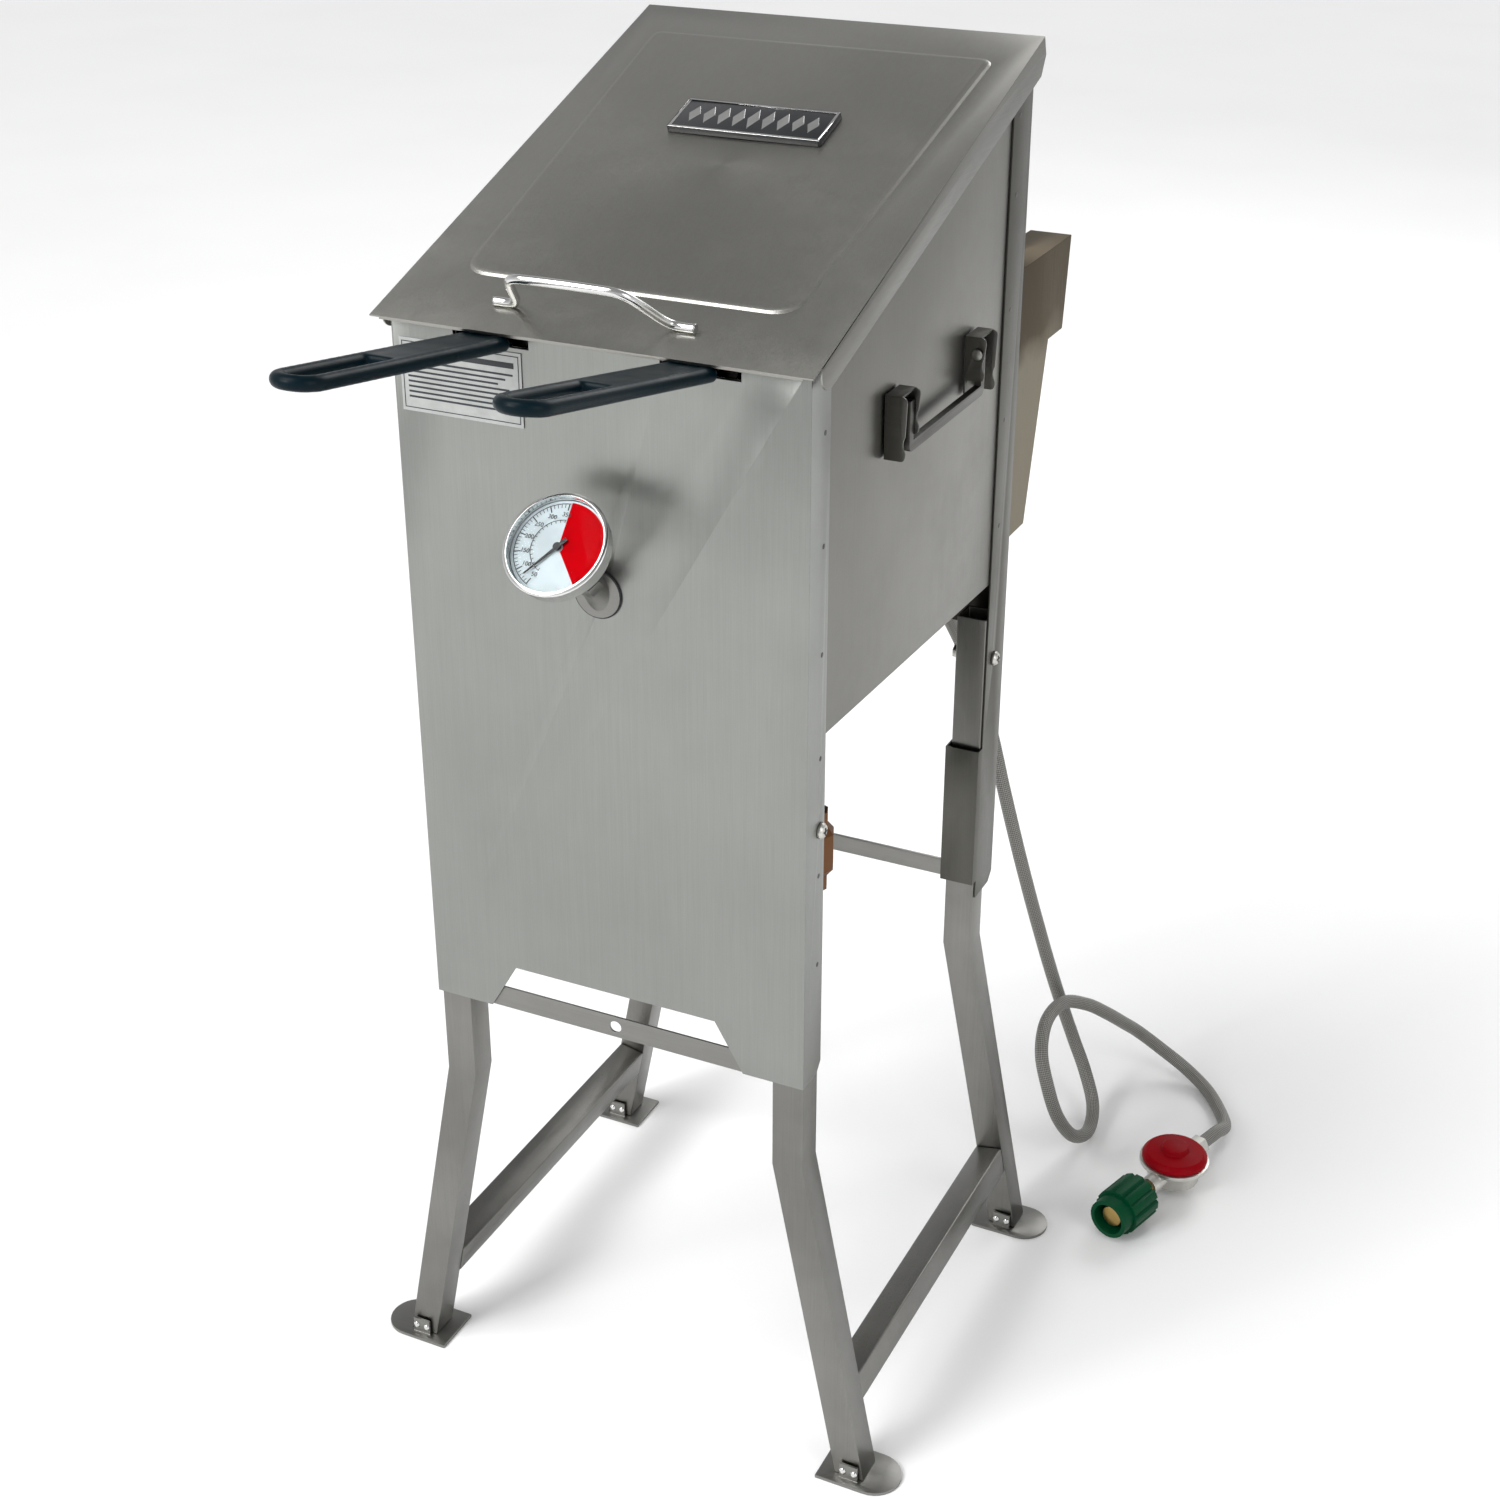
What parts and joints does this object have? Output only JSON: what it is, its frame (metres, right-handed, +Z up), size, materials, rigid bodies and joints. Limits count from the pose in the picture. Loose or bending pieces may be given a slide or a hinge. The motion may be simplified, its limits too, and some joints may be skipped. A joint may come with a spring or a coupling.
{
  "type": "outdoor gas deep fryer",
  "caption": "Tall stainless outdoor gas deep fryer with a vee-bottomed pot, lift-off sloping lid, lift-out baskets, dial thermometer, splayed tube legs and a gas hose.",
  "frame": {"origin": "centre of the fryer's footprint at floor level, without the hose", "axes": "+Z up, -Y towards the user at the front, +X to the fryer's own right as seen from the front"},
  "size_m": [0.6059, 0.9124, 1.0738],
  "materials": {
    "brushed_body": "vertical and horizontal brushed stainless sheet",
    "brushed_lid": "brushed stainless lid",
    "plain_steel": "mill-finish stainless sheet and bar",
    "tube_steel": "brushed stainless square tube",
    "heated_steel": "soot-darkened steel",
    "flue_steel": "stainless with a brown heat tint low down",
    "zinc_hardware": "zinc-plated steel",
    "bright_wire": "bright plated rod and wire",
    "bright_case": "polished stainless case",
    "dipped_grip": "dark blue-green dipped vinyl",
    "badge_black": "black plate with a silver edge",
    "label_foil": "printed foil plate",
    "dial_face": "pale blue-white printed dial",
    "pointer_black": "matt black",
    "clear_glass": "clear",
    "valve_brass": "cast brass",
    "burner_iron": "rough cast iron",
    "hose_braid": "stainless braid over a rubber hose",
    "cap_red": "red moulded cap",
    "nut_green": "green moulded nut"
  },
  "bodies": {
    "fryer_body": {"front_panel": "brushed_body", "pot": "brushed_body", "front_cross_bar": "plain_steel", "rear_cross_bar": "plain_steel", "rear_plate": "heated_steel", "side_panel_left": "brushed_body", "rear_post_left": "brushed_body", "flue_duct_left": "flue_steel", "side_brace_left": "tube_steel", "front_leg_left": "tube_steel", "front_foot_left": "plain_steel", "front_leg_bolt_left": "zinc_hardware", "handle_bracket_front_left": "plain_steel", "rear_leg_left": "tube_steel", "rear_foot_left": "plain_steel", "rear_leg_bolt_left": "zinc_hardware", "handle_bracket_rear_left": "plain_steel", "side_panel_right": "brushed_body", "rear_post_right": "brushed_body", "flue_duct_right": "flue_steel", "side_brace_right": "tube_steel", "front_leg_right": "tube_steel", "front_foot_right": "plain_steel", "front_leg_bolt_right": "zinc_hardware", "handle_bracket_front_right": "plain_steel", "rear_leg_right": "tube_steel", "rear_foot_right": "plain_steel", "rear_leg_bolt_right": "zinc_hardware", "handle_bracket_rear_right": "plain_steel", "info_label": "label_foil", "thermometer_mount": "zinc_hardware", "thermometer_stem": "zinc_hardware", "thermometer_case": "bright_case", "thermometer_dial": "dial_face", "thermometer_glass": "clear_glass", "drain_pipe": "zinc_hardware", "drain_valve": "valve_brass", "burner_head": "burner_iron", "burner_tube": "burner_iron", "orifice_fitting": "valve_brass", "gas_hose": "hose_braid", "regulator_body": "zinc_hardware", "regulator_cap": "cap_red", "tank_nipple": "valve_brass"},
    "lid": {"lid": "brushed_lid", "lid_handle": "bright_wire", "lid_badge": "badge_black"},
    "basket_left": {"basket_left": "bright_wire", "basket_handle_left": "bright_wire", "basket_grip_left": "dipped_grip"},
    "basket_right": {"basket_right": "bright_wire", "basket_handle_right": "bright_wire", "basket_grip_right": "dipped_grip"},
    "carry_handle_left": {"carry_handle_left": "plain_steel"},
    "carry_handle_right": {"carry_handle_right": "plain_steel"},
    "drain_lever": {"drain_lever": "zinc_hardware"},
    "pointer": {"thermometer_pointer": "pointer_black"},
    "air_shutter": {"air_shutter": "zinc_hardware"},
    "tank_nut": {"tank_nut": "nut_green"}
  },
  "joints": [
    {"name": "lid_lift", "type": "slide", "parent": "fryer_body", "child": "lid", "axis": [0, 0, 1], "range_m": [0, 0.32]},
    {"name": "basket_left_lift", "type": "slide", "parent": "fryer_body", "child": "basket_left", "axis": [0, 0, 1], "range_m": [0, 0.16]},
    {"name": "basket_right_lift", "type": "slide", "parent": "fryer_body", "child": "basket_right", "axis": [0, 0, 1], "range_m": [0, 0.16]},
    {"name": "carry_handle_left_swing", "type": "hinge", "parent": "fryer_body", "child": "carry_handle_left", "pos_m": [-0.1705, 0.0652, 0.863], "axis": [0, 1, 0], "range_deg": [0, 90]},
    {"name": "carry_handle_right_swing", "type": "hinge", "parent": "fryer_body", "child": "carry_handle_right", "pos_m": [0.1705, 0.0652, 0.863], "axis": [0, -1, 0], "range_deg": [0, 90]},
    {"name": "drain_lever_turn", "type": "hinge", "parent": "fryer_body", "child": "drain_lever", "pos_m": [0.129, -0.0813, 0.523], "axis": [0, 1, 0], "range_deg": [-90, 0]},
    {"name": "pointer_turn", "type": "hinge", "parent": "fryer_body", "child": "pointer", "pos_m": [-0.002, -0.20276, 0.79946], "axis": [0, -0.7071, 0.7071], "range_deg": [-240, 60]},
    {"name": "air_shutter_turn", "type": "hinge", "parent": "fryer_body", "child": "air_shutter", "pos_m": [0, 0.2827, 0.57], "axis": [0, 1, 0], "range_deg": [0, 90]},
    {"name": "tank_nut_spin", "type": "hinge", "parent": "fryer_body", "child": "tank_nut", "pos_m": [0.30674, 0.26516, 0.024], "axis": [0.2907, 0.9568, 0], "continuous": true}
  ],
  "couplings": [
    {"joint": "basket_left_lift", "follows": "lid_lift", "ratio": 0.5},
    {"joint": "basket_right_lift", "follows": "lid_lift", "ratio": 0.5}
  ]
}
